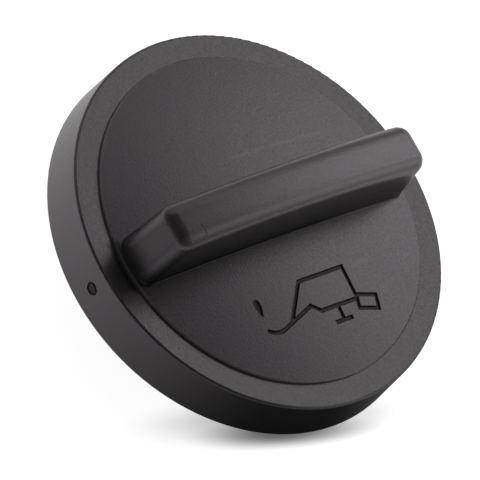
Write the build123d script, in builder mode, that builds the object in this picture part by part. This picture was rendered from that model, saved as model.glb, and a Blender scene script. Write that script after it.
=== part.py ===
"""Oil filler cap: a domed round cap with a grip bar, a bayonet stem below and a rubber sealing ring.

The axis is +Z. The cap stands on the end of its stem at Z = 0, with the grip bar along X.
The bar's narrow end, its nose, points to -X.
"""

import os
from math import radians, sqrt, tan

from build123d import *

os.makedirs("parts", exist_ok=True)

# Top plate and skirt, in millimetres and degrees
rim_diameter = 66.3
skirt_height = 8.53
skirt_draft = 2.2
skirt_wall = 2.2
rim_edge_radius = 0.4
plate_thickness = 2.6
ring_width = 4.12
disc_step = 0.5
disc_edge_radius = 0.35
dome_rise = 2.0

# Grip bar, with its widths at the foot
grip_end_gap = 0.62
grip_nose_width = 8.5
grip_tail_width = 8.7
grip_height = 11.4
grip_side_draft = 1.5
grip_end_draft = 10.8
grip_crown_radius = 188.0
grip_edge_radius = 2.4
grip_foot_radius = 0.25
grip_wall = 2.2
grip_core_margin = 2.5
grip_core_draft = 1.0

# Bayonet stem and its lugs
stem_wall = 2.5
stem_drop = 15.0
stem_lead_in = 0.8
lug_count = 2
lug_reach = 3.4
lug_width = 14.0
lug_thickness = 4.0
lug_ramp_length = 8.0
lug_ramp_rise = 1.2
lug_stop_width = 2.4
lug_stop_height = 2.2
lug_lift = 2.4
lug_edge_radius = 0.5

# Sealing ring and the spigot that it is stretched over, from the skirt inwards to the stem
neck_gap = 5.95
seal_width = 4.6
seal_thickness = 2.6
seal_edge_radius = 1.0
seal_clearance = 0.1
spigot_wall = 1.7
spigot_height = 1.5
spigot_gap = 2.6

# Heights above the end of the stem
skirt_z = stem_drop
ring_z = skirt_z + skirt_height
seat_z = ring_z - plate_thickness
disc_z = ring_z + disc_step
apex_z = disc_z + dome_rise
grip_top_z = apex_z + grip_height


def skirt_radius(z):
    """Outer radius of the drafted skirt at a height."""
    return rim_radius - (z - skirt_z) * tan(radians(skirt_draft))


def dome_z(radius):
    """Height of the domed disc at a distance from the axis."""
    return apex_z - dome_radius + sqrt(dome_radius**2 - radius**2)


# Radii about the axis, from the outside inwards
rim_radius = rim_diameter / 2
disc_radius = skirt_radius(ring_z) - ring_width
seal_outer = rim_radius - skirt_wall - neck_gap
seal_inner = seal_outer - seal_width
spigot_radius = seal_inner - seal_clearance
spigot_inner = spigot_radius - spigot_wall
stem_radius = spigot_inner - spigot_gap
bore_radius = stem_radius - stem_wall
lug_radius = stem_radius + lug_reach
dome_radius = (disc_radius**2 + dome_rise**2) / (2 * dome_rise)

# Grip bar: a tapered, drafted bar with leaning ends and a crowned top, rounded on every edge that a hand meets
grip_half = disc_radius - grip_end_gap
grip_root_half = grip_half + (dome_z(grip_half) - ring_z) * tan(radians(grip_end_draft))
grip_blank_z = grip_top_z + grip_edge_radius
grip_blank_half = grip_root_half - (grip_blank_z - ring_z) * tan(radians(grip_end_draft))
with BuildPart() as grip:
    with BuildSketch(Plane.XY.offset(ring_z)):
        with BuildLine():
            Polyline(
                (-rim_radius, -grip_nose_width / 2),
                (rim_radius, -grip_tail_width / 2),
                (rim_radius, grip_tail_width / 2),
                (-rim_radius, grip_nose_width / 2),
                close=True,
            )
        make_face()
    extrude(amount=grip_blank_z - ring_z, taper=grip_side_draft)
    with BuildSketch(Plane.XZ):
        with BuildLine():
            Polyline(
                (-grip_root_half, ring_z),
                (grip_root_half, ring_z),
                (grip_blank_half, grip_blank_z),
                (-grip_blank_half, grip_blank_z),
                close=True,
            )
        make_face()
        with Locations((0, grip_top_z - grip_crown_radius)):
            Circle(grip_crown_radius, mode=Mode.INTERSECT)
    extrude(amount=grip_tail_width, both=True, mode=Mode.INTERSECT)
    fillet(grip.edges().filter_by_position(Axis.Z, disc_z, grip_blank_z), grip_edge_radius)

# Bayonet lug: its upper face is a cam that draws the cap down, then a level rest and a stop
lug_half = lug_width / 2
lug_rest_z = lug_lift + lug_thickness
lug_top_z = lug_rest_z + lug_stop_height
lug_root_radius = stem_radius - stem_wall / 2
with BuildPart() as lug:
    with BuildSketch(Plane.YZ):
        with BuildLine():
            Polyline(
                (-lug_half, lug_lift),
                (lug_half, lug_lift),
                (lug_half, lug_top_z),
                (lug_half - lug_stop_width, lug_top_z),
                (lug_half - lug_stop_width, lug_rest_z),
                (lug_ramp_length - lug_half, lug_rest_z),
                (-lug_half, lug_rest_z - lug_ramp_rise),
                close=True,
            )
        make_face()
        fillet(vertices(), lug_edge_radius)
    extrude(amount=lug_radius)
    Cylinder(lug_radius, 2 * lug_top_z, mode=Mode.INTERSECT)
    Cylinder(lug_root_radius, 2 * lug_top_z, mode=Mode.SUBTRACT)

# Cap body: plate, skirt and hollow stem turned as one section, with the grip on top and the lugs below
ceiling_z = dome_z(bore_radius) - plate_thickness
grip_core_width = grip_nose_width - 2 * grip_wall
grip_core_half = bore_radius - grip_core_margin
grip_core_top_z = grip_top_z - grip_wall - grip_core_half**2 / (2 * grip_crown_radius)
with BuildPart() as cap_body:
    with BuildSketch(Plane.XZ) as section:
        with BuildLine():
            outline = Polyline(
                (0, apex_z),
                (0, ceiling_z),
                (bore_radius, ceiling_z),
                (bore_radius, 0),
                (stem_radius - stem_lead_in, 0),
                (stem_radius, stem_lead_in),
                (stem_radius, seat_z),
                (spigot_inner, seat_z),
                (spigot_inner, seat_z - spigot_height),
                (spigot_radius, seat_z - spigot_height),
                (spigot_radius, seat_z),
                (skirt_radius(seat_z) - skirt_wall, seat_z),
                (skirt_radius(skirt_z) - skirt_wall, skirt_z),
                (skirt_radius(skirt_z), skirt_z),
                (skirt_radius(ring_z), ring_z),
                (disc_radius, ring_z),
                (disc_radius, disc_z),
            )
            RadiusArc(outline @ 1, outline @ 0, -dome_radius)
        make_face()
        fillet(section.vertices().sort_by_distance((skirt_radius(ring_z), ring_z))[0], rim_edge_radius)
        fillet(section.vertices().sort_by_distance((disc_radius, disc_z))[0], disc_edge_radius)
    revolve(axis=Axis.Z)
    add(grip.part)
    fillet(cap_body.edges(Select.NEW), grip_foot_radius)
    with BuildSketch(Plane.XY.offset(ceiling_z)):
        SlotOverall(2 * grip_core_half, grip_core_width)
    extrude(amount=grip_core_top_z - ceiling_z, taper=grip_core_draft, mode=Mode.SUBTRACT)
    with PolarLocations(0, lug_count):
        add(lug.part)
cap_body.part.label = "cap_body"
export_step(cap_body.part, "parts/cap_body.step")

# Sealing ring: a flat rubber ring with rounded lips, seated on the plate's underside around the spigot
with BuildPart() as seal_ring:
    with BuildSketch(Plane.XZ) as lip:
        with Locations((seal_inner, seat_z)):
            Rectangle(seal_width, seal_thickness, align=(Align.MIN, Align.MAX))
        fillet(lip.vertices().group_by(Axis.Y)[0], seal_edge_radius)
    revolve(axis=Axis.Z)
seal_ring.part.label = "seal_ring"
export_step(seal_ring.part, "parts/seal_ring.step")
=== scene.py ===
"""Oil filler cap, dressed: moulded grain, sunk oil-can sign, gate scar, marks of use, painted highlight
and painted shade, and a white studio.

Everything is in metres in the cap's own frame: the axis is +Z, the stem's end stands on Z = 0, and the
grip bar lies along X with its narrow nose at -X.
"""

from math import atan2, cos, hypot, pi, radians, sin, sqrt

import bpy
from mathutils import Matrix, Vector
from mathutils.geometry import delaunay_2d_cdt


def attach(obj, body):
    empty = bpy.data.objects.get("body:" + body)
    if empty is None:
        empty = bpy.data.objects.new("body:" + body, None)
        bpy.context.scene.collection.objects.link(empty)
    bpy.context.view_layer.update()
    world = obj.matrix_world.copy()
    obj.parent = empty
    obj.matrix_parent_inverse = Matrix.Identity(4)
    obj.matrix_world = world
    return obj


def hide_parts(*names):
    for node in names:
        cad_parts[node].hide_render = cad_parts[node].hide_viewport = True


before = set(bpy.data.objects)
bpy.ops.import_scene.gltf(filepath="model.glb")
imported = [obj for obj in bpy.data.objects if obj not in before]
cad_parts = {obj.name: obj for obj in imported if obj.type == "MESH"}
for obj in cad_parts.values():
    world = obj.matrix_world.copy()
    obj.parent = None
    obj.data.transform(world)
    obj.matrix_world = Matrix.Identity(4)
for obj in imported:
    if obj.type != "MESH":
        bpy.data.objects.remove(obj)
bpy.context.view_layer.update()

# Cap body
# One black moulding in glass-filled nylon: plate, domed disc, grip bar, skirt, hollow stem and bayonet lugs.
# The sparked mould leaves a fine matt grain on it. The oil-can sign is sunk in the disc, the gate has left a
# torn scar on the skirt, and the bar's edges and crown are pale from hands' wear and from painted highlight,
# with painted shade dimming the sheen at its foot.
mm = 0.001
cap_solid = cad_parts["cap_body"]
same_point = 1e-7


def joined_points(mesh):
    """The distinct points of a mesh whose faces share no vertices, and each vertex's number among them."""
    number_at = {}
    numbers = []
    for vertex in mesh.vertices:
        place = tuple(round(c / mm, 4) for c in vertex.co)
        numbers.append(number_at.setdefault(place, len(number_at)))
    points = [None] * len(number_at)
    for vertex, number in zip(mesh.vertices, numbers):
        points[number] = vertex.co.copy()
    return points, numbers


def face_met(solid, start, towards):
    """The facets of the moulded face that a straight line meets first."""
    _, _, _, first = solid.ray_cast(start, towards)
    facets_at = {}
    for facet in solid.data.polygons:
        for vertex in facet.vertices:
            facets_at.setdefault(vertex, []).append(facet.index)
    found = {first}
    waiting = [first]
    while waiting:
        for vertex in solid.data.polygons[waiting.pop()].vertices:
            fresh = [facet for facet in facets_at[vertex] if facet not in found]
            found.update(fresh)
            waiting.extend(fresh)
    return found


def edge_loops(triangles):
    """The closed loops of point numbers round a patch of triangles, with the patch on their left."""
    sides = {(a, b) for t in triangles for a, b in ((t[0], t[1]), (t[1], t[2]), (t[2], t[0]))}
    following = {a: b for a, b in sides if (b, a) not in sides}
    loops = []
    while following:
        loop = [min(following)]
        while loop[-1] in following:
            loop.append(following.pop(loop[-1]))
        loops.append(loop[:-1])
    return loops


def sunk_patch(points, triangles, flatten, lay, cuts):
    """Fills a patch of the skin again with outlines sunk in it, and adds the new points to the skin's.

    A cut is a closed outline on the flattened patch and its depth. Cuts are listed from the rim inwards,
    and a point takes the depth of the last cut that reaches it. Returns the triangles, each with its
    corners' directions and whether it is sunk.
    """
    loops = sorted(edge_loops(triangles), key=lambda loop: -max(flatten(points[n]).length for n in loop))
    loops[1:] = [loop[::-1] for loop in loops[1:]]
    marks = [mark for outline, _ in cuts for mark in outline]
    low = Vector((min(m.x for m in marks), min(m.y for m in marks)))
    high = Vector((max(m.x for m in marks), max(m.y for m in marks)))
    on_edge = {n for loop in loops for n in loop}
    kept = sorted(on_edge)
    for n in sorted({n for t in triangles for n in t} - on_edge):
        at = flatten(points[n])
        if not (low.x < at.x < high.x and low.y < at.y < high.y):
            kept.append(n)
    place_of = {n: i for i, n in enumerate(kept)}
    flat = [flatten(points[n]) for n in kept]
    regions = [[place_of[n] for n in loop] for loop in loops]
    for outline, _ in cuts:
        regions.append(list(range(len(flat), len(flat) + len(outline))))
        flat.extend(outline)
    spots, _, facets, sources, _, regions_of = delaunay_2d_cdt(flat, [], regions, 0, same_point)

    deepest = [-1] * len(spots)
    filled = []
    for facet, inside in zip(facets, regions_of):
        if 0 in inside and not any(0 < region < len(loops) for region in inside):
            cut = max(inside) - len(loops)
            filled.append((facet, cut))
            for spot in facet:
                deepest[spot] = max(deepest[spot], cut)
    numbers = {}
    for spot in {spot for facet, _ in filled for spot in facet}:
        known = [kept[source] for source in sources[spot] if source < len(kept)]
        if known:
            numbers[spot] = known[0]
        else:
            depth = cuts[deepest[spot]][1] if deepest[spot] >= 0 else 0
            numbers[spot] = len(points)
            points.append(lay(spots[spot], depth)[0])
    made = []
    for facet, cut in filled:
        corners = tuple(numbers[spot] for spot in facet)
        facing = [lay(spots[spot], 0)[1] if cut < 0 else Vector() for spot in facet]
        made.append((corners, facing, cut >= 0))
    return made


# The sign is the common one for engine oil, with its grooves' middle lines measured from the cap's axis
groove_width = 0.74 * mm
groove_floor_width = 0.46 * mm
groove_depth = 0.3 * mm
can_left, can_right = -1.38 * mm, 7.97 * mm
can_foot, can_top = -12.12 * mm, -17.68 * mm
lid_step = Vector((0.24 * mm, can_top))
lid_peak = Vector((-1.3 * mm, -16.36 * mm))
spout_bend = Vector((-7.76 * mm, -18.42 * mm))
spout_hook_radius = 3.3 * mm
spout_hook_turn = radians(55)
wall_on_spout = 0.25
knob_x, knob_y, knob_half = 3.7 * mm, -20.2 * mm, 1.5 * mm
handle_middle = Vector((9.67 * mm, -18.68 * mm))
handle_length, handle_height, handle_tilt = 3.85 * mm, 2.25 * mm, radians(-15.3)
drop_middle = Vector((-10.67 * mm, -14.02 * mm))
drop_length, drop_width = 3.3 * mm, 1.8 * mm
drop_point = 1.2
hook_steps = 8
drop_steps = 24


def groove(path, width):
    """Outline of a groove of even width along a path, with mitred corners and square ends."""
    right, left = [], []
    for i, point in enumerate(path):
        before = (point - path[i - 1]).normalized() if i > 0 else (path[1] - point).normalized()
        after = (path[i + 1] - point).normalized() if i < len(path) - 1 else before
        along = (before + after).normalized()
        across = Vector((along.y, -along.x)) * (width / 2 / along.dot(after))
        run_out = after * (width / 2 * ((i == len(path) - 1) - (i == 0)))
        right.append(point + across + run_out)
        left.append(point - across + run_out)
    return right + left[::-1]


def teardrop(size):
    """Outline of the oil drop, pointed towards the spout; size 1 is its rim."""
    outline = []
    for step in range(drop_steps):
        turn = 2 * pi * step / drop_steps
        half_width = drop_width / 2 * sin(turn) * sin(turn / 2) ** drop_point
        outline.append(drop_middle + size * Vector((half_width, -drop_length / 2 * cos(turn))))
    return outline


pour = (spout_bend - lid_peak).normalized()
hook_side = Vector((pour.y, -pour.x))
spout_hook = [
    spout_bend + spout_hook_radius * (sin(turn) * pour + (1 - cos(turn)) * hook_side)
    for turn in [spout_hook_turn * step / hook_steps for step in range(hook_steps + 1)]
]
middle_top = Vector(((can_left + can_right) / 2, can_top))
handle_along = Vector((cos(handle_tilt), sin(handle_tilt))) * handle_length / 2
handle_across = Vector((-sin(handle_tilt), cos(handle_tilt))) * handle_height / 2
handle_corners = [
    handle_middle + i * handle_along + j * handle_across for i, j in ((-1, -1), (1, -1), (1, 1), (-1, 1))
]
can_lines = [
    [spout_hook[0].lerp(lid_peak, wall_on_spout), Vector((can_left, can_foot)),
     Vector((can_right, can_foot)), Vector((can_right, can_top)), middle_top],
    [middle_top, lid_step, lid_peak, *spout_hook],
    [Vector((knob_x, can_top)), Vector((knob_x, knob_y))],
    [Vector((knob_x - knob_half, knob_y)), Vector((knob_x + knob_half, knob_y))],
    *[[handle_corners[i - 1], handle_corners[i]] for i in range(4)],
]
sign_cuts = [(groove(line, groove_width), 0) for line in can_lines]
sign_cuts.append((teardrop(1), 0))
sign_cuts += [(groove(line, groove_floor_width), groove_depth) for line in can_lines]
sign_cuts.append((teardrop(groove_floor_width / groove_width), groove_depth))

cap_points, cap_numbers = joined_points(cap_solid.data)


def facet_points(facets):
    """The corner points of some of the cap's facets."""
    return [cap_solid.data.vertices[v].co for f in facets for v in cap_solid.data.polygons[f].vertices]


disc_face = face_met(cap_solid, Vector((0, can_foot, 1)), Vector((0, 0, -1)))
disc_rim = max(facet_points(disc_face), key=lambda p: hypot(p.x, p.y))
disc_crown = min(facet_points(disc_face), key=lambda p: hypot(p.x, p.y))
dome_centre = (disc_rim.length_squared - disc_crown.length_squared) / (2 * (disc_rim.z - disc_crown.z))
dome_radius = (disc_rim - Vector((0, 0, dome_centre))).length


def on_disc(spot, depth):
    """Point and outward direction on the domed disc, a depth below its skin."""
    rise = sqrt(dome_radius**2 - spot.length_squared)
    return Vector((*spot, dome_centre + rise - depth)), Vector((*spot, rise)) / dome_radius


# The gate scar: a shallow round well with a torn stub of the runner in it
gate_height = 19.47 * mm
gate_aside = 0.43 * mm
gate_radius = 1.12 * mm
gate_depth = 0.22 * mm
gate_floor_radius = gate_radius * 0.9
stub_radius = 0.82 * mm
stub_top_radius = stub_radius * 0.8
stub_top_depth = 0.05 * mm
gate_patch_half = 6 * mm
scar_steps = 18

skirt_face = face_met(cap_solid, Vector((-1, 0, gate_height)), Vector((1, 0, 0)))
skirt_foot = min(facet_points(skirt_face), key=lambda p: p.z)
skirt_head = max(facet_points(skirt_face), key=lambda p: p.z)
foot_radius, head_radius = hypot(*skirt_foot.xy), hypot(*skirt_head.xy)
skirt_lean = (foot_radius - head_radius) / (skirt_head.z - skirt_foot.z)


def unrolled(point):
    """A point of the skirt on the flat: along the skirt from the bar's nose, and up."""
    return Vector((atan2(-point.y, -point.x) * foot_radius, point.z))


def on_skirt(spot, depth):
    """Point and outward direction on the skirt, a depth below its skin."""
    turn = spot.x / foot_radius
    radius = foot_radius - skirt_lean * (spot.y - skirt_foot.z) - depth
    facing = Vector((-cos(turn), -sin(turn), skirt_lean)).normalized()
    return Vector((-radius * cos(turn), -radius * sin(turn), spot.y)), facing


def scar_ring(radius, unevenness):
    """A round about the gate, made uneven by three waves and five smaller ones."""
    ring = []
    for step in range(scar_steps):
        turn = 2 * pi * step / scar_steps
        reach = radius * (1 + unevenness * (sin(3 * turn + 1) + 0.7 * sin(5 * turn)))
        ring.append(Vector((gate_aside + reach * cos(turn), gate_height + reach * sin(turn))))
    return ring


scar_cuts = [
    (scar_ring(gate_radius, unevenness=0.02), 0),
    (scar_ring(gate_floor_radius, unevenness=0.03), gate_depth),
    (scar_ring(stub_radius, unevenness=0.08), gate_depth),
    (scar_ring(stub_top_radius, unevenness=0.16), stub_top_depth),
]
skirt_patch = {
    f for f in skirt_face if all(abs(unrolled(point).x) < gate_patch_half for point in facet_points([f]))
}


def numbered(facets):
    """Facets of the cap as triangles of joined points."""
    return [tuple(cap_numbers[v] for v in cap_solid.data.polygons[f].vertices) for f in facets]


cap_skin = []
for facet in cap_solid.data.polygons:
    if facet.index not in disc_face and facet.index not in skirt_patch:
        corners = tuple(cap_numbers[v] for v in facet.vertices)
        if len(set(corners)) == len(corners):
            facing = [cap_solid.data.corner_normals[i].vector.copy() for i in facet.loop_indices]
            cap_skin.append((corners, facing, False))
cap_skin += sunk_patch(cap_points, numbered(disc_face), lambda p: p.xy, on_disc, sign_cuts)
cap_skin += sunk_patch(cap_points, numbered(skirt_patch), unrolled, on_skirt, scar_cuts)

sharp_edge = radians(25)
cap_mesh = bpy.data.meshes.new("cap_moulding")
cap_mesh.from_pydata(cap_points, [], [corners for corners, _, _ in cap_skin])
cap_mesh.shade_smooth()
cap_mesh.set_sharp_from_angle(angle=sharp_edge)
cap_mesh.normals_split_custom_set([direction for _, facing, _ in cap_skin for direction in facing])
cap_mesh.polygons.foreach_set("material_index", [int(sunk) for _, _, sunk in cap_skin])
cap_moulding = bpy.data.objects.new("cap_moulding", cap_mesh)
bpy.context.collection.objects.link(cap_moulding)


def set_inputs(tree, node, inputs):
    """Sets each input of a node, by name or number, to a value or joins it to another node's output."""
    for name, value in inputs.items():
        if isinstance(value, bpy.types.NodeSocket):
            tree.links.new(value, node.inputs[name])
        else:
            node.inputs[name].default_value = value


def shader_node(tree, kind, inputs=None, **settings):
    """Adds a node with its settings and its inputs."""
    node = tree.nodes.new("ShaderNode" + kind)
    for name, value in settings.items():
        setattr(node, name, value)
    set_inputs(tree, node, inputs or {})
    return node


def reckoned(tree, operation, *values, **settings):
    """The result of one sum, product or comparison of values that change over the surface."""
    return shader_node(tree, "Math", dict(enumerate(values)), operation=operation, **settings).outputs[0]


def surveyed(tree, operation, inputs, output="Vector"):
    """The result of one step of measuring with places and directions."""
    return shader_node(tree, "VectorMath", inputs, operation=operation).outputs[output]


def ramp(tree, value, span, result=(0, 1), ease="LINEAR"):
    """Turns a value that goes across a span into one that goes across the result."""
    ends = {"From Min": span[0], "From Max": span[1], "To Min": result[0], "To Max": result[1]}
    return shader_node(tree, "MapRange", {"Value": value, **ends}, interpolation_type=ease).outputs["Result"]


def blend(tree, share, first, second):
    """A colour that goes from the first to the second with a share."""
    return shader_node(tree, "Mix", {0: share, 6: first, 7: second}, data_type="RGBA").outputs[2]


def effect_group(name, inputs, outputs):
    """A shared effect with plain number sockets: its node tree and its two end nodes."""
    tree = bpy.data.node_groups.new(name, "ShaderNodeTree")
    for socket, value in inputs.items():
        tree.interface.new_socket(socket, in_out="INPUT", socket_type="NodeSocketFloat").default_value = value
    for socket in outputs:
        tree.interface.new_socket(socket, in_out="OUTPUT", socket_type="NodeSocketFloat")
    return tree, tree.nodes.new("NodeGroupInput"), tree.nodes.new("NodeGroupOutput")


def new_material(name):
    """A new material, its node tree and its surface shader."""
    material = bpy.data.materials.new(name)
    material.use_nodes = True
    return material, material.node_tree, material.node_tree.nodes["Principled BSDF"]


# Fine grain of a sparked mould, with a slow drift in how matt it is
grain_tree, grain_in, grain_out = effect_group(
    "moulded grain", {"Grains per metre": 2400.0, "Patches per metre": 60.0}, ["Height", "Drift"]
)
grain_place = shader_node(grain_tree, "TexCoord").outputs["Object"]
grain_fine = shader_node(
    grain_tree, "TexNoise",
    {"Vector": grain_place, "Scale": grain_in.outputs["Grains per metre"], "Detail": 3.0, "Roughness": 0.7},
)
grain_slow = shader_node(
    grain_tree, "TexNoise",
    {"Vector": grain_place, "Scale": grain_in.outputs["Patches per metre"], "Detail": 3.0, "Roughness": 0.5},
)
set_inputs(grain_tree, grain_out, {"Height": grain_fine.outputs["Fac"], "Drift": grain_slow.outputs["Fac"]})

# Sparse specks of dust on what faces up, each more or less bright
dust_steepest = 0.3
dust_tree, dust_in, dust_out = effect_group(
    "settled dust", {"Specks per metre": 300.0, "Speck size": 0.03}, ["Mask"]
)
dust_place = shader_node(dust_tree, "TexCoord").outputs["Object"]
dust_cells = shader_node(
    dust_tree, "TexVoronoi", {"Vector": dust_place, "Scale": dust_in.outputs["Specks per metre"]}
)
dust_facing = shader_node(
    dust_tree, "SeparateXYZ", {"Vector": shader_node(dust_tree, "NewGeometry").outputs["Normal"]}
)
dust_bright = shader_node(dust_tree, "SeparateColor", {"Color": dust_cells.outputs["Color"]}).outputs["Red"]
dust_reach = reckoned(dust_tree, "LESS_THAN", dust_cells.outputs["Distance"], dust_in.outputs["Speck size"])
dust_lies = reckoned(dust_tree, "GREATER_THAN", dust_facing.outputs["Z"], dust_steepest)
dust_speck = reckoned(dust_tree, "MULTIPLY", dust_reach, dust_lies)
set_inputs(dust_tree, dust_out, {"Mask": reckoned(dust_tree, "MULTIPLY", dust_speck, dust_bright)})

cap_black = (0.013, 0.0119, 0.0127, 1)
cap_sheen = (1, 0.92, 0.98, 1)
cap_dust = (0.3, 0.29, 0.28, 1)
cap_pale_mark = (0.09, 0.084, 0.087, 1)
# Pale edge colour: wear, and painted highlight on the bar's edges and crown and on the disc's edge
cap_worn_highlight = (0.21, 0.196, 0.203, 1)
cap_refraction = 1.75
# The sheen dimmed at the bar's foot is painted shade
cap_gloss, foot_shade_gloss = 0.5, 0.05
grain_span = (0.3, 0.7)
grain_roughness = (0.3, 0.42)
grain_relief = 0.025 * mm
scratch_grains = 4.0

cap_plastic, cap_tree, cap_surface = new_material("grained black nylon")
cap_grain = shader_node(cap_tree, "Group", node_tree=grain_tree).outputs["Height"]
cap_specks = shader_node(cap_tree, "Group", node_tree=dust_tree).outputs["Mask"]
cap_place = shader_node(cap_tree, "TexCoord").outputs["Object"]
cap_axes = shader_node(cap_tree, "SeparateXYZ", {"Vector": cap_place})
cap_plan = surveyed(cap_tree, "MULTIPLY", {0: cap_place, 1: (1, 1, 0)})


def soft_stroke(start, end, width):
    """Mask of a soft stroke on the cap, by its two ends seen from above and its width, in millimetres."""
    begin = Vector((*start, 0)) * mm
    run = Vector((*end, 0)) * mm - begin
    beyond = surveyed(cap_tree, "SUBTRACT", {0: cap_plan, 1: begin})
    ahead = surveyed(cap_tree, "DOT_PRODUCT", {0: beyond, 1: run / run.length_squared}, "Value")
    share = shader_node(cap_tree, "Clamp", {"Value": ahead}).outputs["Result"]
    nearest = surveyed(cap_tree, "SCALE", {0: run, "Scale": share})
    away = surveyed(cap_tree, "DISTANCE", {0: beyond, 1: nearest}, "Value")
    return ramp(cap_tree, away, (width / 2 * mm, 0), ease="SMOOTHSTEP")


# Pale marks on the disc, which show on the grain's tops, and a scratch across the bar
pale_streak_behind_bar = soft_stroke((-1, 10.3), (18, 9.9), 1.2)
rub_beside_bar = soft_stroke((4.4, -7.6), (7.4, -7.4), 1.0)
rub_by_can = soft_stroke((10.1, -12.5), (13.8, -12.4), 1.4)
pale_marks_disc = reckoned(cap_tree, "MAXIMUM", pale_streak_behind_bar, rub_beside_bar)
pale_marks_all = reckoned(cap_tree, "MAXIMUM", pale_marks_disc, rub_by_can)
pale_marks_on_grain = reckoned(cap_tree, "MULTIPLY", pale_marks_all, cap_grain)
scratch_on_bar = soft_stroke((-21.7, -1.3), (-21.3, -2.7), 0.3)

# Pale from wear by hands and from painted highlight: the bar's edges and crown, most in front and towards
# the tail, and the disc's edge
back_share, crown_share = 0.25, 0.38
worn_highlit_run, worn_highlit_shares = (-24 * mm, 26 * mm), (0.36, 1.0)
disc_edge, disc_edge_reach, disc_edge_share = 28.6 * mm, 0.4 * mm, 0.42

worn_highlit_front = soft_stroke((-24.5, -2.7), (26, -2.8), 2.6)
worn_highlit_back = soft_stroke((-20, 2.1), (26, 2.2), 1.2)
worn_highlit_tail = soft_stroke((25.4, -2.4), (25.4, 1.5), 3.0)
worn_highlit_crown = soft_stroke((-22, 0), (26, 0), 8)
worn_highlit_sides = reckoned(cap_tree, "MULTIPLY_ADD", worn_highlit_back, back_share, worn_highlit_front)
worn_highlit_edges = reckoned(cap_tree, "MAXIMUM", worn_highlit_sides, worn_highlit_tail)
worn_highlit_over = reckoned(cap_tree, "MULTIPLY_ADD", worn_highlit_crown, crown_share, worn_highlit_edges)
worn_highlit_along = ramp(cap_tree, cap_axes.outputs["X"], worn_highlit_run, worn_highlit_shares)
worn_highlit_bar = reckoned(cap_tree, "MULTIPLY", worn_highlit_over, worn_highlit_along)
disc_reach = surveyed(cap_tree, "LENGTH", {0: cap_plan}, "Value")
disc_off = reckoned(cap_tree, "ABSOLUTE", reckoned(cap_tree, "SUBTRACT", disc_reach, disc_edge))
worn_highlit_disc = ramp(cap_tree, disc_off, (disc_edge_reach, 0), (0, disc_edge_share), ease="SMOOTHSTEP")
worn_highlit_all = reckoned(cap_tree, "ADD", worn_highlit_bar, worn_highlit_disc, use_clamp=True)

# Painted shade at the bar's foot, which dims its sheen: up its front wall, thinner towards the tail, and
# round its nose
foot_shade_heights = (37 * mm, 26.5 * mm)
foot_shade_run, foot_shade_shares = (28 * mm, 8 * mm), (0.15, 1.0)

foot_shade_line = soft_stroke((-27, -4.2), (24, -4.27), 0.9)
foot_shade_low = ramp(cap_tree, cap_axes.outputs["Z"], foot_shade_heights, ease="SMOOTHSTEP")
foot_shade_along = ramp(cap_tree, cap_axes.outputs["X"], foot_shade_run, foot_shade_shares)
foot_shade_wall = reckoned(cap_tree, "MULTIPLY", foot_shade_low, foot_shade_along)
foot_shade_front = reckoned(cap_tree, "MULTIPLY", foot_shade_line, foot_shade_wall)
nose_shade = soft_stroke((-28.6, -3.6), (-28.6, 3.6), 3.2)
foot_shade = reckoned(cap_tree, "MAXIMUM", foot_shade_front, nose_shade)

# Pale wear and painted highlight on the bar and the disc's edge
cap_worn_highlit = blend(cap_tree, worn_highlit_all, cap_black, cap_worn_highlight)
cap_marked = blend(cap_tree, pale_marks_on_grain, cap_worn_highlit, cap_pale_mark)
cap_scratched = reckoned(cap_tree, "MULTIPLY_ADD", scratch_on_bar, -scratch_grains, cap_grain)
cap_bump = shader_node(cap_tree, "Bump", {"Height": cap_scratched, "Distance": grain_relief, "Strength": 1.0})
set_inputs(cap_tree, cap_surface, {
    "Base Color": blend(cap_tree, cap_specks, cap_marked, cap_dust),
    "Roughness": ramp(cap_tree, cap_grain, grain_span, grain_roughness),
    "IOR": cap_refraction,
    # Painted shade at the bar's foot dims the sheen
    "Specular IOR Level": ramp(cap_tree, foot_shade, (0, 1), (cap_gloss, foot_shade_gloss)),
    "Specular Tint": cap_sheen,
    "Normal": cap_bump.outputs["Normal"],
})
cap_mesh.materials.append(cap_plastic)

# In the sunk sign and the scar the mould was cut by hand, and the plastic is rougher and catches less light
sunk_black = (0.014, 0.0128, 0.0136, 1)
sunk_torn = (0.07, 0.066, 0.068, 1)
sunk_gloss = 0.3
sunk_grains_per_metre = 3500.0
sunk_torn_span = (0.48, 0.68)
sunk_roughness = (0.45, 0.6)
sunk_relief = 0.03 * mm

sunk_plastic, sunk_tree, sunk_surface = new_material("rough sunk nylon")
sunk_grain = shader_node(
    sunk_tree, "Group", {"Grains per metre": sunk_grains_per_metre}, node_tree=grain_tree
).outputs["Height"]
sunk_spots = ramp(sunk_tree, sunk_grain, sunk_torn_span)
sunk_bump = shader_node(sunk_tree, "Bump", {"Height": sunk_grain, "Distance": sunk_relief, "Strength": 0.8})
set_inputs(sunk_tree, sunk_surface, {
    "Base Color": blend(sunk_tree, sunk_spots, sunk_black, sunk_torn),
    "Roughness": ramp(sunk_tree, sunk_grain, (0, 1), sunk_roughness),
    "Specular IOR Level": sunk_gloss,
    "Specular Tint": cap_sheen,
    "Normal": sunk_bump.outputs["Normal"],
})
cap_mesh.materials.append(sunk_plastic)

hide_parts("cap_body")
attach(cap_moulding, "root")

# Sealing ring
# A flat black rubber ring, moulded with rounded lips. It is stretched over the spigot under the plate, and
# the rim of the filler neck presses on it.
seal_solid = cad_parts["seal_ring"]
seal_black = (0.016, 0.016, 0.0165, 1)
seal_bloom = (0.06, 0.06, 0.058, 1)
seal_grains_per_metre, seal_patches_per_metre = 1500.0, 150.0
seal_roughness = (0.5, 0.7)
seal_relief = 0.02 * mm

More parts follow.
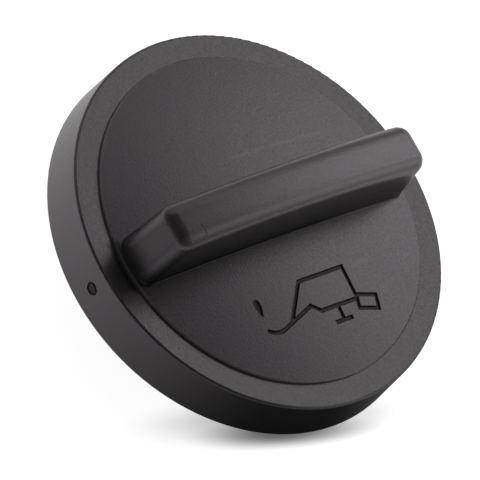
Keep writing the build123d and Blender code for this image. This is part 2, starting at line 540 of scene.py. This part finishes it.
seal_rubber, seal_tree, seal_surface = new_material("moulded black rubber")
seal_grain = shader_node(
    seal_tree, "Group",
    {"Grains per metre": seal_grains_per_metre, "Patches per metre": seal_patches_per_metre},
    node_tree=grain_tree,
)
seal_bump = shader_node(
    seal_tree, "Bump", {"Height": seal_grain.outputs["Height"], "Distance": seal_relief, "Strength": 0.4}
)
set_inputs(seal_tree, seal_surface, {
    "Base Color": blend(seal_tree, seal_grain.outputs["Drift"], seal_black, seal_bloom),
    "Roughness": ramp(seal_tree, seal_grain.outputs["Drift"], (0, 1), seal_roughness),
    "Normal": seal_bump.outputs["Normal"],
})
seal_solid.data.materials.clear()
seal_solid.data.materials.append(seal_rubber)

# Floor
# A wide matt white table. The camera sees it washed out to white but for a painted soft shadow where the rim
# comes nearest to it, and the cap's sheen sees it white but for painted shade on the ground before it and
# beyond its nose.
floor_half = 2.0
floor_white = (0.85, 0.85, 0.85, 1)
floor_glow = (1, 1, 1, 1)
floor_wash = 0.92
contact_middle, contact_reach = (3.1 * mm, -28 * mm, 0), (20.7 * mm, 3.45 * mm, 1)
shadow_middle, shadow_reach = (3.6 * mm, -25.5 * mm, 0), (32 * mm, 5.65 * mm, 1)
shadow_turn = radians(-14)
shadow_light = 0.36
front_middle, front_reach, front_turn = (-1 * mm, -50 * mm, 0), (100 * mm, 85 * mm, 1), radians(-10)
nose_middle, nose_reach, nose_turn = (-102 * mm, 5 * mm, 0), (78 * mm, 42 * mm, 1), radians(107)
shade_core = 0.12

floor_corners = [(x * floor_half, y * floor_half, 0) for x, y in ((-1, -1), (1, -1), (1, 1), (-1, 1))]
floor_mesh = bpy.data.meshes.new("floor")
floor_mesh.from_pydata(floor_corners, [], [(0, 1, 2, 3)])
floor = bpy.data.objects.new("floor", floor_mesh)
bpy.context.collection.objects.link(floor)

floor_table, floor_tree, floor_surface = new_material("white table")
floor_table.cycles.emission_sampling = "NONE"
floor_tree.nodes.remove(floor_surface)
floor_rays = shader_node(floor_tree, "LightPath")
floor_place = shader_node(floor_tree, "NewGeometry").outputs["Position"]


def around(middle, reach, turn, least=0.0, most=1.0):
    """How light the floor is about an ellipse of painted shade: the least in its core and the most past its
    reach.
    """
    ellipse = {"Vector": floor_place, "Location": middle, "Rotation": (0, 0, turn), "Scale": reach}
    place = shader_node(floor_tree, "Mapping", ellipse, vector_type="TEXTURE").outputs["Vector"]
    away = surveyed(floor_tree, "LENGTH", {0: place}, "Value")
    return ramp(floor_tree, away, (shade_core, 1), (least, most), ease="SMOOTHSTEP")


# Painted contact shadow, seen by the camera only
floor_washed = reckoned(
    floor_tree, "MULTIPLY",
    around(contact_middle, contact_reach, shadow_turn, most=floor_wash),
    around(shadow_middle, shadow_reach, shadow_turn, least=shadow_light),
)
floor_seen = reckoned(floor_tree, "MULTIPLY", floor_rays.outputs["Is Camera Ray"], floor_washed)
# Painted shade on the ground, seen only in the cap's sheen
floor_clear = reckoned(
    floor_tree, "MINIMUM",
    around(front_middle, front_reach, front_turn),
    around(nose_middle, nose_reach, nose_turn),
)
floor_matt = shader_node(floor_tree, "BsdfDiffuse", {"Color": floor_white})
floor_bright = shader_node(floor_tree, "Emission", {"Color": floor_glow, "Strength": floor_seen})
floor_open = shader_node(floor_tree, "AddShader", {0: floor_matt.outputs[0], 1: floor_bright.outputs[0]})
floor_mirrored = shader_node(floor_tree, "Emission", {"Color": floor_glow, "Strength": floor_clear})
floor_mix = shader_node(
    floor_tree, "MixShader",
    {0: floor_rays.outputs["Is Glossy Ray"], 1: floor_open.outputs[0], 2: floor_mirrored.outputs[0]},
)
set_inputs(floor_tree, floor_tree.nodes["Material Output"], {"Surface": floor_mix.outputs[0]})
floor_mesh.materials.append(floor_table)

# Studio light
# A softbox behind the cap lights its top faces, a broad one on its left fills them, and a third on its right
# catches the bar's front edge. The room around is dark, and only the camera sees it white.
lamp_aim = Vector((0, 0, 20 * mm))
lamp_distance = 1.5
room_glow = 0.1


def softbox(name, azimuth, elevation, width, height, radiance):
    """A square-on area lamp, by its place about the cap in degrees and how bright its face is."""
    lamp = bpy.data.lights.new(name, "AREA")
    lamp.shape = "RECTANGLE"
    lamp.size, lamp.size_y = width, height
    lamp.energy = radiance * pi * width * height
    turn = Matrix.Rotation(radians(azimuth + 90), 4, "Z") @ Matrix.Rotation(radians(90 - elevation), 4, "X")
    placed = bpy.data.objects.new(name, lamp)
    placed.matrix_world = Matrix.Translation(lamp_aim) @ turn @ Matrix.Translation((0, 0, lamp_distance))
    bpy.context.collection.objects.link(placed)


softbox("back softbox", azimuth=9, elevation=37, width=0.8, height=0.95, radiance=1.83)
softbox("left softbox", azimuth=74, elevation=36, width=2.4, height=1.5, radiance=0.47)
softbox("right softbox", azimuth=-38, elevation=31, width=0.8, height=1.3, radiance=0.92)

room = bpy.data.worlds.new("dark room")
bpy.context.scene.world = room
room.use_nodes = True
room_tree = room.node_tree
room_seen = shader_node(room_tree, "LightPath").outputs["Is Camera Ray"]
room_level = ramp(room_tree, room_seen, (0, 1), (room_glow, 1))
set_inputs(room_tree, room_tree.nodes["Background"], {"Color": (1, 1, 1, 1), "Strength": room_level})

# Camera
# It stands a metre off with a long lens. In the picture the cap leans on its rim, and here it stands upright,
# so the camera is rolled instead.
view_azimuth, view_elevation, view_roll = radians(-71.76), radians(48.61), radians(46.86)
view_distance = 990 * mm
view_aim = Vector((-2.82, -1.1, 20.0)) * mm
view_width = 75.02 * mm

camera_data = bpy.data.cameras.new("camera")
camera_data.sensor_width = 36
camera_data.lens = camera_data.sensor_width * view_distance / view_width
camera = bpy.data.objects.new("camera", camera_data)
view_turn = Matrix.Rotation(view_azimuth, 4, "Z") @ Matrix.Rotation(pi / 2 - view_elevation, 4, "X")
view_turn = view_turn @ Matrix.Rotation(view_roll, 4, "Z")
camera.matrix_world = Matrix.Translation(view_aim) @ view_turn @ Matrix.Translation((0, 0, view_distance))
bpy.context.collection.objects.link(camera)
bpy.context.scene.camera = camera
bpy.context.scene.view_settings.view_transform = "Standard"
